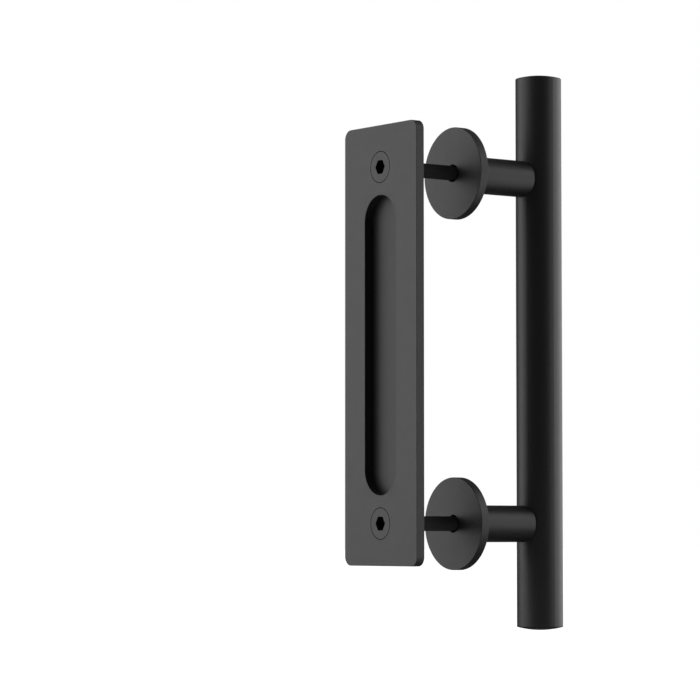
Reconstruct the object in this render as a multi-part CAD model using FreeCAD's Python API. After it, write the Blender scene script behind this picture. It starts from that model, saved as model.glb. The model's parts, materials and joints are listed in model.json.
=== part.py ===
import FreeCAD, Part
import math
import os

# Pull handle set for a sliding barn door. A flat plate with a finger recess lies on one
# face of the door, and a round bar on two posts stands off the other face. Two screws
# run from the plate through the door and into the posts, and clamp everything together.
#
# X runs across the plate, Y through the door from the plate to the bar, Z up along the
# bar. The origin is the middle of the plate's back face, which lies on the door.

# Door, and the distance between its two holes
DOOR_THICKNESS = 44.0
POST_SPACING = 190.0

# Flush plate with its recessed cup
PLATE_WIDTH = 63.5
PLATE_THICKNESS = 5.0
PLATE_END_MARGIN = 22.5
PLATE_CORNER_RADIUS = 5.0
PLATE_EDGE_BREAK = 0.12
RECESS_WIDTH = 27.3
RECESS_DEPTH = 5.3
RECESS_END_MARGIN = 15.0
RECESS_RIM_BREAK = 0.12
CUP_WALL = 1.6

# Countersunk socket screws through the door
SHANK_DIAMETER = 8.0
HEAD_DIAMETER = 16.4
HEAD_RIM_HEIGHT = 1.0
HEAD_RING_GAP = 0.4
NECK_LENGTH = 1.0
NECK_FLARE = 0.3
SHANK_HOLE_CLEARANCE = 0.4
KEY_WIDTH = 7.3
SOCKET_DEPTH = 3.8
SHANK_RELIEF = 0.3
SCREW_ENGAGEMENT = 16.0

# Thread of the screws and studs, drawn as a plain cylinder at its pitch diameter
THREAD_PITCH = 1.25
THREAD_FIT = 0.05
THREAD_CHAMFER = 0.4

# Rosettes between the door and the posts
ROSETTE_DIAMETER = 50.0
ROSETTE_THICKNESS = 5.0
ROSETTE_HOLE_CLEARANCE = 0.85
ROSETTE_EDGE_BREAK = 0.2

# Posts, and the room for a hand between the door and the bar
POST_DIAMETER = 20.0
POST_EDGE_BREAK = 0.3
HAND_CLEARANCE = 48.0
SADDLE_DEPTH = 2.0
SADDLE_GAP = 0.05

# Bar: a tube with a domed cap in each end
BAR_DIAMETER = 25.4
BAR_WALL = 2.0
TUBE_OVERHANG = 56.0
CAP_RIM = 0.5
CAP_RISE = 1.7
CAP_EDGE_BREAK = 0.25
PLUG_LENGTH = 8.0
PLUG_FIT = 0.05

# Studs and the tapped slugs that hold the bar to the posts
STUD_FREE_LENGTH = 9.5
STUD_PAST_AXIS = 4.8
STUD_KEY_WIDTH = 4.0
STUD_SOCKET_DEPTH = 4.0
STUD_HOLE_CLEARANCE = 0.25
SLUG_LENGTH = 22.0

# Places along Y and Z that follow from the sizes above
FACE_Y = -PLATE_THICKNESS
ROSETTE_Y = DOOR_THICKNESS
POST_Y = ROSETTE_Y + ROSETTE_THICKNESS
BAR_RADIUS = BAR_DIAMETER / 2
BAR_AXIS_Y = DOOR_THICKNESS + HAND_CLEARANCE + BAR_RADIUS
SADDLE_RADIUS = BAR_RADIUS + SADDLE_GAP
SADDLE_Y = BAR_AXIS_Y - SADDLE_RADIUS
POST_TIP_Y = SADDLE_Y + SADDLE_DEPTH
POST_Z = POST_SPACING / 2
PLATE_HEIGHT = POST_SPACING + 2 * PLATE_END_MARGIN
RECESS_LENGTH = POST_SPACING - 2 * RECESS_END_MARGIN
TUBE_END_Z = POST_Z + TUBE_OVERHANG
BORE_RADIUS = BAR_RADIUS - BAR_WALL
PLUG_RADIUS = BORE_RADIUS - PLUG_FIT

# Radii and lengths of the threaded pieces
SHANK_RADIUS = SHANK_DIAMETER / 2
HEAD_RADIUS = HEAD_DIAMETER / 2
SEAT_RADIUS = HEAD_RADIUS + HEAD_RING_GAP
PITCH_LOSS = 0.6495 * THREAD_PITCH
THREAD_RADIUS = (SHANK_DIAMETER - PITCH_LOSS) / 2
TAPPED_RADIUS = THREAD_RADIUS + THREAD_FIT
SCREW_TIP_Y = POST_Y + SCREW_ENGAGEMENT
STUD_START_Y = SCREW_TIP_Y + STUD_FREE_LENGTH
STUD_TIP_Y = BAR_AXIS_Y + STUD_PAST_AXIS

ORIGIN = FreeCAD.Vector(0, 0, 0)
ALONG_X = FreeCAD.Vector(1, 0, 0)
ALONG_Y = FreeCAD.Vector(0, 1, 0)
ALONG_Z = FreeCAD.Vector(0, 0, 1)

# How far a cutting shape runs past the face that it opens
OVERCUT = 1.0
NEAR = 1e-6


def rounded_wire(corners):
    """Closed outline through (point, radius) corners, each rounded by a tangent arc."""
    starts = []
    ends = []
    arcs = []
    count = len(corners)
    for i, (corner, radius) in enumerate(corners):
        back = (corners[i - 1][0] - corner).normalize()
        ahead = (corners[(i + 1) % count][0] - corner).normalize()
        half = back.getAngle(ahead) / 2
        reach = radius / math.tan(half)
        start = corner + back * reach
        end = corner + ahead * reach
        inward = (back + ahead).normalize()
        middle = corner + inward * (radius / math.sin(half) - radius)
        arcs.append(Part.Arc(start, middle, end).toShape())
        starts.append(start)
        ends.append(end)
    lines = []
    for i in range(count):
        start = ends[i - 1]
        end = starts[i]
        if start.distanceToPoint(end) > NEAR:
            lines.append(Part.makeLine(start, end))
    return Part.Wire(Part.__sortEdges__(lines + arcs))


def turned(profile, along):
    """Solid turned about the origin's axis from (radius, place) points."""
    points = [ALONG_X * radius + along * place for radius, place in profile]
    outline = Part.makePolygon(points + points[:1])
    return Part.Face(outline).revolve(ORIGIN, along, 360)


def slab(width, height, corner_radius, y_front, y_back):
    """Plate across Y with rounded corners. A corner of half the width gives round ends."""
    corners = []
    for x_side, z_side in ((-1, -1), (1, -1), (1, 1), (-1, 1)):
        point = FreeCAD.Vector(x_side * width / 2, y_front, z_side * height / 2)
        corners.append((point, corner_radius))
    return Part.Face(rounded_wire(corners)).extrude(ALONG_Y * (y_back - y_front))


def rod(radius, y_start, y_end):
    """Plain round rod along Y."""
    return Part.makeCylinder(radius, y_end - y_start, ALONG_Y * y_start, ALONG_Y)


def bar_rod(radius, z_bottom, length):
    """Plain round rod on the bar's axis."""
    return Part.makeCylinder(radius, length, FreeCAD.Vector(0, BAR_AXIS_Y, z_bottom), ALONG_Z)


def edges_at(shape, y, half_width):
    """Edges that lie in the plane Y = y, no further than half_width from the middle."""
    found = []
    for edge in shape.Edges:
        box = edge.BoundBox
        flat = abs(box.YMin - y) < NEAR and abs(box.YMax - y) < NEAR
        if flat and max(abs(box.XMin), abs(box.XMax)) < half_width + NEAR:
            found.append(edge)
    return found


def key_socket(width, depth, y_mouth):
    """Six-sided socket that opens towards -Y, with flats above and below."""
    sides = 6
    corner_distance = width / 2 / math.cos(math.pi / sides)
    points = []
    for i in range(sides + 1):
        turn = 2 * math.pi * i / sides
        x = corner_distance * math.cos(turn)
        z = corner_distance * math.sin(turn)
        points.append(FreeCAD.Vector(x, y_mouth - OVERCUT, z))
    return Part.Face(Part.makePolygon(points)).extrude(ALONG_Y * (depth + OVERCUT))


def screw_seat():
    """Countersink and clearance hole that the screw needs in the plate, on the origin's axis.

    Its straight rim is shallower than the head's by the ring gap, so the head sits on the cone.
    """
    hole_radius = SHANK_RADIUS + SHANK_HOLE_CLEARANCE
    cone_start = FACE_Y + HEAD_RIM_HEIGHT - HEAD_RING_GAP
    cone_end = cone_start + SEAT_RADIUS - hole_radius
    past_back = max(cone_end, 0) + OVERCUT
    return turned([(0, FACE_Y - OVERCUT),
                   (SEAT_RADIUS, FACE_Y - OVERCUT),
                   (SEAT_RADIUS, cone_start),
                   (hole_radius, cone_end),
                   (hole_radius, past_back),
                   (0, past_back)], ALONG_Y)


def flush_plate():
    """Plate and recessed cup in one piece, with two countersunk holes."""
    floor_y = FACE_Y + RECESS_DEPTH
    plate = slab(PLATE_WIDTH, PLATE_HEIGHT, PLATE_CORNER_RADIUS, FACE_Y, 0)
    plate = plate.makeChamfer(PLATE_EDGE_BREAK, edges_at(plate, FACE_Y, PLATE_WIDTH / 2))
    cup_width = RECESS_WIDTH + 2 * CUP_WALL
    cup_length = RECESS_LENGTH + 2 * CUP_WALL
    cup = slab(cup_width, cup_length, cup_width / 2, FACE_Y + PLATE_EDGE_BREAK, floor_y + CUP_WALL)
    recess = slab(RECESS_WIDTH, RECESS_LENGTH, RECESS_WIDTH / 2, FACE_Y - OVERCUT, floor_y)
    body = plate.fuse(cup).removeSplitter().cut(recess)
    body = body.makeChamfer(RECESS_RIM_BREAK, edges_at(body, FACE_Y, RECESS_WIDTH / 2))
    for side in (1, -1):
        body = body.cut(screw_seat().translated(ALONG_Z * side * POST_Z))
    return body


def door_screw():
    """Countersunk screw: head, plain shank through the door, thread in the post."""
    thread_start_y = ROSETTE_Y - SHANK_RELIEF
    runout = SHANK_RADIUS - THREAD_RADIUS
    cone_start = FACE_Y + HEAD_RIM_HEIGHT
    neck_y = cone_start + HEAD_RADIUS - SHANK_RADIUS - NECK_FLARE
    screw = turned([(0, FACE_Y),
                    (HEAD_RADIUS, FACE_Y),
                    (HEAD_RADIUS, cone_start),
                    (SHANK_RADIUS + NECK_FLARE, neck_y),
                    (SHANK_RADIUS, neck_y + NECK_LENGTH),
                    (SHANK_RADIUS, thread_start_y - runout),
                    (THREAD_RADIUS, thread_start_y),
                    (THREAD_RADIUS, SCREW_TIP_Y - THREAD_CHAMFER),
                    (THREAD_RADIUS - THREAD_CHAMFER, SCREW_TIP_Y),
                    (0, SCREW_TIP_Y)], ALONG_Y)
    return screw.cut(key_socket(KEY_WIDTH, SOCKET_DEPTH, FACE_Y))


def rosette():
    """Round cover disc with a clearance hole for the screw."""
    hole_radius = SHANK_RADIUS + ROSETTE_HOLE_CLEARANCE
    radius = ROSETTE_DIAMETER / 2
    inner = radius - ROSETTE_EDGE_BREAK
    return turned([(hole_radius, ROSETTE_Y),
                   (inner, ROSETTE_Y),
                   (radius, ROSETTE_Y + ROSETTE_EDGE_BREAK),
                   (radius, POST_Y - ROSETTE_EDGE_BREAK),
                   (inner, POST_Y),
                   (hole_radius, POST_Y)], ALONG_Y)


def post():
    """Turned post, tapped along its axis, with a shallow saddle for the bar in its flat end."""
    radius = POST_DIAMETER / 2
    inner = radius - POST_EDGE_BREAK
    blank = turned([(0, POST_Y),
                    (inner, POST_Y),
                    (radius, POST_Y + POST_EDGE_BREAK),
                    (radius, POST_TIP_Y - POST_EDGE_BREAK),
                    (inner, POST_TIP_Y),
                    (0, POST_TIP_Y)], ALONG_Y)
    saddle = bar_rod(SADDLE_RADIUS, -POST_DIAMETER, 2 * POST_DIAMETER)
    return blank.cut(saddle).cut(rod(TAPPED_RADIUS, POST_Y - OVERCUT, BAR_AXIS_Y))


def stud():
    """Headless stud with a key socket in the end that faces the door."""
    blank = turned([(0, STUD_START_Y),
                    (THREAD_RADIUS, STUD_START_Y),
                    (THREAD_RADIUS, STUD_TIP_Y - THREAD_CHAMFER),
                    (THREAD_RADIUS - THREAD_CHAMFER, STUD_TIP_Y),
                    (0, STUD_TIP_Y)], ALONG_Y)
    return blank.cut(key_socket(STUD_KEY_WIDTH, STUD_SOCKET_DEPTH, STUD_START_Y))


def slug():
    """Round slug inside the bar, cross tapped for the stud."""
    blank = bar_rod(PLUG_RADIUS, -SLUG_LENGTH / 2, SLUG_LENGTH)
    return blank.cut(rod(TAPPED_RADIUS, SADDLE_Y, BAR_AXIS_Y + BAR_RADIUS))


def pull_bar():
    """Round tube with one hole for each stud."""
    tube_length = 2 * TUBE_END_Z
    bore = bar_rod(BORE_RADIUS, -TUBE_END_Z, tube_length)
    tube = bar_rod(BAR_RADIUS, -TUBE_END_Z, tube_length).cut(bore)
    hole = rod(SHANK_RADIUS + STUD_HOLE_CLEARANCE, SADDLE_Y, BAR_AXIS_Y)
    for side in (1, -1):
        tube = tube.cut(hole.translated(ALONG_Z * side * POST_Z))
    return tube


def end_cap():
    """Cap on the tube's top end: a plug inside it, and a head as wide as the bar with a low dome.

    The poles of the dome's ball lie across the bar, so the dome itself is free of them.
    """
    rim_z = TUBE_END_Z + CAP_RIM
    dome_radius = (BAR_RADIUS ** 2 + CAP_RISE ** 2) / (2 * CAP_RISE)
    centre = FreeCAD.Vector(0, BAR_AXIS_Y, rim_z + CAP_RISE - dome_radius)
    ball = Part.makeSphere(dome_radius, centre, -ALONG_Y)
    head = bar_rod(BAR_RADIUS, TUBE_END_Z, CAP_RIM + CAP_RISE).common(ball)
    rim_edges = [edge for edge in head.Edges if abs(edge.BoundBox.ZMin - rim_z) < NEAR]
    head = head.makeChamfer(CAP_EDGE_BREAK, rim_edges)
    return head.fuse(bar_rod(PLUG_RADIUS, TUBE_END_Z - PLUG_LENGTH, PLUG_LENGTH))


def handle():
    """Every piece of the handle by its name, in its place."""
    pieces = {"flush_plate": flush_plate(), "pull_bar": pull_bar()}
    makers = {"door_screw": door_screw, "rosette": rosette, "post": post,
              "post_stud": stud, "bar_slug": slug}
    for level, side in (("upper", 1), ("lower", -1)):
        for name, make in makers.items():
            pieces[level + "_" + name] = make().translated(ALONG_Z * side * POST_Z)
    pieces["top_end_cap"] = end_cap()
    pieces["bottom_end_cap"] = end_cap().mirror(ORIGIN, ALONG_Z)
    return pieces


os.makedirs("parts", exist_ok=True)
for node, shape in handle().items():
    shape.exportStep("parts/" + node + ".step")
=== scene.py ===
import json
import math

import bpy
from mathutils import Euler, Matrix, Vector


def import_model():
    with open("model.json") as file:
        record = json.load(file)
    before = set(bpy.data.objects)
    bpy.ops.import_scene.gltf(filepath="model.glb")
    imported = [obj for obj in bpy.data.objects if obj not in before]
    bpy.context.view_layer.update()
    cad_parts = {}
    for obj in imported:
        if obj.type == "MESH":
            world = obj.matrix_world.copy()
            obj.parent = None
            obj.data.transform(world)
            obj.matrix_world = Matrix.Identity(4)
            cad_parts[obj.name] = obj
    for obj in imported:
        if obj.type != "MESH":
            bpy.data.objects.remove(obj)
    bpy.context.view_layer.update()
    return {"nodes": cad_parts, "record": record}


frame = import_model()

# Barn door pull handle: a flush plate and a pull bar on two posts, all in satin black powder
# coat, in a white studio. Metres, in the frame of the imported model: X across the plate, Y
# through the door from the plate to the bar, Z up along the bar.

# Camera of the photograph: its turn about Z, its pitch above the horizon, its place and lens
CAMERA_TURN = math.radians(53.755)
CAMERA_PITCH = math.radians(3.35)
CAMERA_PLACE = (1.3237, -0.9953, -0.0996)
CAMERA_CLIP = (0.01, 100.0)
LENS_MM = 160.12
SENSOR_MM = 36.0

# Powder coat: satin, near black, with the fine orange peel that a cured coat has. Each noise
# is given by its features per metre and its detail, and each bump by its depth.
COAT_TONES = ((0.0095, 0.0095, 0.0096, 1.0), (0.0115, 0.0115, 0.0116, 1.0))
COAT_ROUGHNESS = (0.43, 0.49)
COAT_IOR = 1.5
COAT_SPECULAR = 0.5
COAT_BUMP_STRENGTH = 0.25
TONE_NOISE = (45.0, 2.0)
GLOSS_NOISE = (160.0, 3.0)
PEEL_NOISE = (700.0, 1.0)
PEEL_DEPTH = 0.00006
GRAIN_NOISE = (2600.0, 2.0)
GRAIN_DEPTH = 0.000015

# Boxes behind the plate's face. In the recess a lower specular level is painted shade that
# darkens the recess floor; in the screws' sockets no specular, a darker tone and more
# roughness are painted shade that makes the sockets black; the shanks have a duller finish of
# their own. Each box adds to the roughness, has its own specular level and multiplies the tone.
# Painted shade on the recess floor: a lower specular level darkens it.
RECESS_PAINTED_SHADE = {"middle": (0.0, -0.0022, 0.0), "half": (0.0142, 0.0026, 0.0806),
                 "roughness": 0.0, "specular": 0.38, "tone": 1.4}
# Painted shade in the screws' sockets: no specular, a darker tone and more roughness make them
# black.
SOCKET_PAINTED_SHADE = {"middle": (0.0, -0.0028, 0.0), "half": (0.02, 0.0017, 0.12),
                 "roughness": 0.40, "specular": 0.0, "tone": 0.4}
SHANK_FINISH = {"middle": (0.0, 0.0394, 0.0), "half": (0.02, 0.04, 0.12),
                "roughness": 0.40, "specular": 0.10, "tone": 3.5}
BOX_BLEND = 0.0003

# Bare steel with lathe marks, on the pieces inside the bar and the posts
STEEL_COLOUR = (0.50, 0.50, 0.51, 1.0)
STEEL_ROUGHNESS = (0.28, 0.42)
LATHE_STRETCH = (200.0, 6000.0, 200.0)
LATHE_NOISE = (1.0, 3.0)
LATHE_BUMP_STRENGTH = 0.3
LATHE_DEPTH = 0.00002

# Studio, as seen from the object. Turns are in degrees about Z from the camera's side, and a
# positive turn goes to the right of the picture.
MIDDLE = Vector((0.0, 0.056, 0.0))
WHITE = (1.0, 1.0, 1.0, 1.0)
WORLD_FILL = 0.12
FLOOR_Z = -0.25
FLOOR_SIZE = 40.0
FLOOR_COLOUR = (0.8, 0.8, 0.8, 1.0)
NEAR_GLOW = 0.55
WHITE_FROM = 0.55
WHITE_AT = 1.15
LAMP_DISTANCE = 1.5
LAMP_HEIGHT = 2.6
LAMPS = {
    "left_front_lamp": {"turns": (-58, -42), "radiance": 0.4},
    "left_lamp": {"turns": (-95, -58), "radiance": 1.45},
    "left_back_lamp": {"turns": (-124, -95), "radiance": 2.0},
    "right_lamp": {"turns": (60, 85), "radiance": 1.0},
    "right_back_lamp": {"turns": (85, 143), "radiance": 2.15},
}

# Cards that only reflections see. They keep the white studio out of the black coat. Each is
# swept through its turns from one (radius, height) point to another.
CARD_GLOW = 0.08
LID_GLOW = 0.30
CARD_STEP = 6
CARD_DISTANCE = 1.9
CARD_TOP = 2.2
CARD_FOOT = FLOOR_Z + 0.001
BACK_CARD_BOTTOM = 0.40
UNDER_CARD_RADIUS = 0.35
FRONT_GAP = (0.10, 0.33)
FRONT_TURNS = (-56, 60)
BACK_TURNS = (140, 180)
CARDS = {
    "ring_card": {"turns": (-180, 140), "glow": CARD_GLOW,
                  "ends": ((CARD_DISTANCE, CARD_FOOT), (CARD_DISTANCE, CARD_TOP))},
    "back_card": {"turns": BACK_TURNS, "glow": CARD_GLOW,
                  "ends": ((CARD_DISTANCE, BACK_CARD_BOTTOM), (CARD_DISTANCE, CARD_TOP))},
    "lid_card": {"turns": (-180, 180), "glow": LID_GLOW,
                 "ends": ((CARD_DISTANCE, CARD_TOP), (0.0, CARD_TOP))},
    "front_floor_card": {"turns": FRONT_TURNS, "glow": CARD_GLOW,
                         "ends": ((FRONT_GAP[1], CARD_FOOT), (CARD_DISTANCE, CARD_FOOT))},
    "back_floor_card": {"turns": (140, 239), "glow": CARD_GLOW,
                        "ends": ((0.0, CARD_FOOT), (CARD_DISTANCE, CARD_FOOT))},
    "front_under_card": {"turns": FRONT_TURNS, "glow": CARD_GLOW,
                         "ends": ((0.0, CARD_FOOT), (FRONT_GAP[0], CARD_FOOT))},
    "under_card": {"turns": (60, 304), "glow": CARD_GLOW,
                   "ends": ((0.0, CARD_FOOT), (UNDER_CARD_RADIUS, CARD_FOOT))},
}


def clear_nodes(owner):
    """Empty node tree of a material or world."""
    owner.use_nodes = True
    owner.node_tree.nodes.clear()
    return owner.node_tree


def add(tree, kind, links=(), **settings):
    """Node of a kind, with its properties by name and its inputs as (input, value or socket)."""
    node = tree.nodes.new(kind)
    for name, value in settings.items():
        setattr(node, name, value)
    for name, value in links:
        if isinstance(value, bpy.types.NodeSocket):
            tree.links.new(value, node.inputs[name])
        else:
            node.inputs[name].default_value = value
    return node


def mapped(tree, value, low, high, start=0.0, end=1.0):
    """Value that goes from low to high while another goes from start to end."""
    return add(tree, "ShaderNodeMapRange",
               [("Value", value), ("From Min", start), ("From Max", end),
                ("To Min", low), ("To Max", high)]).outputs[0]


def maths(tree, operation, first, second):
    """Result of a sum, product or the like of two values."""
    return add(tree, "ShaderNodeMath", [(0, first), (1, second)], operation=operation).outputs[0]


def vector_maths(tree, operation, links, output="Vector"):
    """Result of a sum, length or the like of vectors."""
    return add(tree, "ShaderNodeVectorMath", links, operation=operation).outputs[output]


def noise(tree, place, scale, detail):
    """Procedural noise at a scale in features per metre."""
    return add(tree, "ShaderNodeTexNoise",
               [("Vector", place), ("Scale", scale), ("Detail", detail)]).outputs["Fac"]


def object_place(tree):
    """Place on the object, in its own coordinates."""
    return add(tree, "ShaderNodeTexCoord").outputs["Object"]


def inside_box(tree, place, middle, half):
    """1 inside a box given by its middle and its half sizes, and 0 outside it."""
    offset = vector_maths(tree, "SUBTRACT", [(0, place), (1, middle)])
    away = vector_maths(tree, "ABSOLUTE", [(0, offset)])
    past = vector_maths(tree, "SUBTRACT", [(0, away), (1, half)])
    sides = add(tree, "ShaderNodeSeparateXYZ", [("Vector", past)]).outputs
    furthest = maths(tree, "MAXIMUM", maths(tree, "MAXIMUM", sides["X"], sides["Y"]), sides["Z"])
    return mapped(tree, furthest, 1.0, 0.0, 0.0, BOX_BLEND)


def powder_coat(name, finishes_and_painted_shades=()):
    """Satin black coat with slight changes of tone and gloss and a fine orange peel.

    Boxes give duller finishes and painted shade: the recess and socket boxes paint shade.
    """
    material = bpy.data.materials.new(name)
    tree = clear_nodes(material)
    place = object_place(tree)
    patches = noise(tree, place, *TONE_NOISE)
    tone = add(tree, "ShaderNodeMix",
               [("Factor", patches), ("A", COAT_TONES[0]), ("B", COAT_TONES[1])],
               data_type="RGBA").outputs["Result"]
    gloss = mapped(tree, noise(tree, place, *GLOSS_NOISE), *COAT_ROUGHNESS)
    specular = COAT_SPECULAR
    # The recess and socket boxes paint shade; the shank's box is a duller finish.
    for finish_and_painted_shade in finishes_and_painted_shades:
        inside = inside_box(tree, place, finish_and_painted_shade["middle"], finish_and_painted_shade["half"])
        gloss = maths(tree, "ADD", gloss, mapped(tree, inside, 0.0, finish_and_painted_shade["roughness"]))
        specular = mapped(tree, inside, specular, finish_and_painted_shade["specular"])
        factor = mapped(tree, inside, 1.0, finish_and_painted_shade["tone"])
        tone = vector_maths(tree, "SCALE", [(0, tone), ("Scale", factor)])
    peel = add(tree, "ShaderNodeBump",
               [("Strength", COAT_BUMP_STRENGTH), ("Distance", PEEL_DEPTH),
                ("Height", noise(tree, place, *PEEL_NOISE))])
    grain = add(tree, "ShaderNodeBump",
                [("Strength", COAT_BUMP_STRENGTH), ("Distance", GRAIN_DEPTH),
                 ("Height", noise(tree, place, *GRAIN_NOISE)), ("Normal", peel.outputs["Normal"])])
    shader = add(tree, "ShaderNodeBsdfPrincipled",
                 [("Base Color", tone), ("Roughness", gloss), ("IOR", COAT_IOR),
                  ("Specular IOR Level", specular), ("Normal", grain.outputs["Normal"])])
    add(tree, "ShaderNodeOutputMaterial", [("Surface", shader.outputs["BSDF"])])
    return material


def turned_steel(name):
    """Bare steel with fine lathe marks round the Y axis of the studs."""
    material = bpy.data.materials.new(name)
    tree = clear_nodes(material)
    stretched = add(tree, "ShaderNodeMapping",
                    [("Vector", object_place(tree)), ("Scale", LATHE_STRETCH)])
    marks = noise(tree, stretched.outputs["Vector"], *LATHE_NOISE)
    bump = add(tree, "ShaderNodeBump",
               [("Strength", LATHE_BUMP_STRENGTH), ("Distance", LATHE_DEPTH), ("Height", marks)])
    shader = add(tree, "ShaderNodeBsdfPrincipled",
                 [("Base Color", STEEL_COLOUR), ("Metallic", 1.0),
                  ("Roughness", mapped(tree, marks, *STEEL_ROUGHNESS)),
                  ("Normal", bump.outputs["Normal"])])
    add(tree, "ShaderNodeOutputMaterial", [("Surface", shader.outputs["BSDF"])])
    return material


def dress():
    """Gives each node of the model the material of its slot."""
    finishes_and_painted_shades = {
        "black_coating": powder_coat("powder_coat"),
        # The screws' material paints shade into their sockets.
        "black_screws": powder_coat("screw_black", (SOCKET_PAINTED_SHADE, SHANK_FINISH)),
        "plain_steel": turned_steel("turned_steel"),
    }
    for part in frame["record"]["subparts"]:
        frame["nodes"][part["node"]].material_slots[0].material = finishes_and_painted_shades[part["material_slot"]]
    plate = frame["nodes"]["flush_plate"]
    # The plate's material paints shade onto the recess floor.
    plate.material_slots[0].material = powder_coat("plate_coat", (RECESS_PAINTED_SHADE,))


def direction(turn):
    """Level direction from the object, by a turn from the camera's side."""
    angle = CAMERA_TURN - math.pi / 2 + math.radians(turn)
    return Vector((math.cos(angle), math.sin(angle), 0.0))


def place_in_scene(thing):
    """Puts a lamp, card, floor or camera into the scene."""
    bpy.context.scene.collection.objects.link(thing)
    return thing


def camera():
    """Camera at the photograph's place."""
    data = bpy.data.cameras.new("camera")
    data.lens = LENS_MM
    data.sensor_width = SENSOR_MM
    data.clip_start, data.clip_end = CAMERA_CLIP
    thing = place_in_scene(bpy.data.objects.new("camera", data))
    thing.location = CAMERA_PLACE
    thing.rotation_euler = Euler((math.pi / 2 + CAMERA_PITCH, 0.0, CAMERA_TURN))
    bpy.context.scene.camera = thing


def lamp(name, turns, radiance):
    """Tall soft lamp that fills the turns given. A radiance of 1 is that of a white card."""
    half = math.radians(turns[1] - turns[0]) / 2
    width = 2 * LAMP_DISTANCE * math.tan(half)
    data = bpy.data.lights.new(name, "AREA")
    data.shape = "RECTANGLE"
    data.size, data.size_y = width, LAMP_HEIGHT
    data.energy = radiance * math.pi * width * LAMP_HEIGHT
    thing = place_in_scene(bpy.data.objects.new(name, data))
    towards = direction((turns[0] + turns[1]) / 2)
    thing.location = MIDDLE + towards * LAMP_DISTANCE
    thing.rotation_euler = (-towards).to_track_quat("-Z", "Y").to_euler()
    thing.visible_camera = False


def background_rays(tree):
    """1 for the rays that see the white background: camera, glossy and transmission rays."""
    path = add(tree, "ShaderNodeLightPath").outputs
    seen = maths(tree, "MAXIMUM", path["Is Camera Ray"], path["Is Glossy Ray"])
    return maths(tree, "MAXIMUM", seen, path["Is Transmission Ray"])


def world():
    """White as the background, and a dim even fill for the light itself."""
    made = bpy.data.worlds.new("studio")
    bpy.context.scene.world = made
    tree = clear_nodes(made)
    strength = mapped(tree, background_rays(tree), WORLD_FILL, 1.0)
    white = add(tree, "ShaderNodeBackground", [("Color", WHITE), ("Strength", strength)])
    add(tree, "ShaderNodeOutputWorld", [("Surface", white.outputs[0])])


def pale_floor():
    """Pale matt floor that turns white with distance, where it is background."""
    material = bpy.data.materials.new("pale_floor")
    tree = clear_nodes(material)
    away = vector_maths(tree, "LENGTH", [(0, object_place(tree))], "Value")
    glow = mapped(tree, away, NEAR_GLOW, 1.0, WHITE_FROM, WHITE_AT)
    seen = maths(tree, "MULTIPLY", background_rays(tree), glow)
    matt = add(tree, "ShaderNodeBsdfDiffuse", [("Color", FLOOR_COLOUR)])
    lift = add(tree, "ShaderNodeEmission", [("Color", WHITE), ("Strength", seen)])
    both = add(tree, "ShaderNodeAddShader", [(0, matt.outputs[0]), (1, lift.outputs[0])])
    add(tree, "ShaderNodeOutputMaterial", [("Surface", both.outputs[0])])
    return material


def card_paint(name, glow):
    """Even grey of a card."""
    material = bpy.data.materials.new(name)
    tree = clear_nodes(material)
    grey = add(tree, "ShaderNodeEmission", [("Color", WHITE), ("Strength", glow)])
    add(tree, "ShaderNodeOutputMaterial", [("Surface", grey.outputs[0])])
    return material


def staged(name, points, faces, material):
    """Mesh that belongs to the studio and not to the object."""
    mesh = bpy.data.meshes.new(name)
    mesh.from_pydata(points, [], faces)
    mesh.materials.append(material)
    thing = place_in_scene(bpy.data.objects.new(name, mesh))
    return thing


def floor():
    """Floor below the object."""
    half = FLOOR_SIZE / 2
    points = [(x, y, 0.0) for x, y in ((-half, -half), (half, -half), (half, half), (-half, half))]
    thing = staged("floor", points, [(0, 1, 2, 3)], pale_floor())
    thing.location = (MIDDLE.x, MIDDLE.y, FLOOR_Z)


def card(name, turns, ends, glow):
    """Card swept about the middle's upright axis through the turns, between two points."""
    steps = math.ceil((turns[1] - turns[0]) / CARD_STEP)
    points = []
    for i in range(steps + 1):
        towards = direction(turns[0] + (turns[1] - turns[0]) * i / steps)
        for radius, height in ends:
            points.append((MIDDLE.x + towards.x * radius, MIDDLE.y + towards.y * radius, height))
    faces = [(2 * i, 2 * i + 1, 2 * i + 3, 2 * i + 2) for i in range(steps)]
    thing = staged(name, points, faces, card_paint(name, glow))
    thing.visible_camera = False
    thing.visible_diffuse = False
    thing.visible_shadow = False
    thing.visible_transmission = False


bpy.context.scene.view_settings.view_transform = "Standard"
dress()
camera()
world()
floor()
for card_name, values in CARDS.items():
    card(card_name, **values)
for lamp_name, values in LAMPS.items():
    lamp(lamp_name, **values)
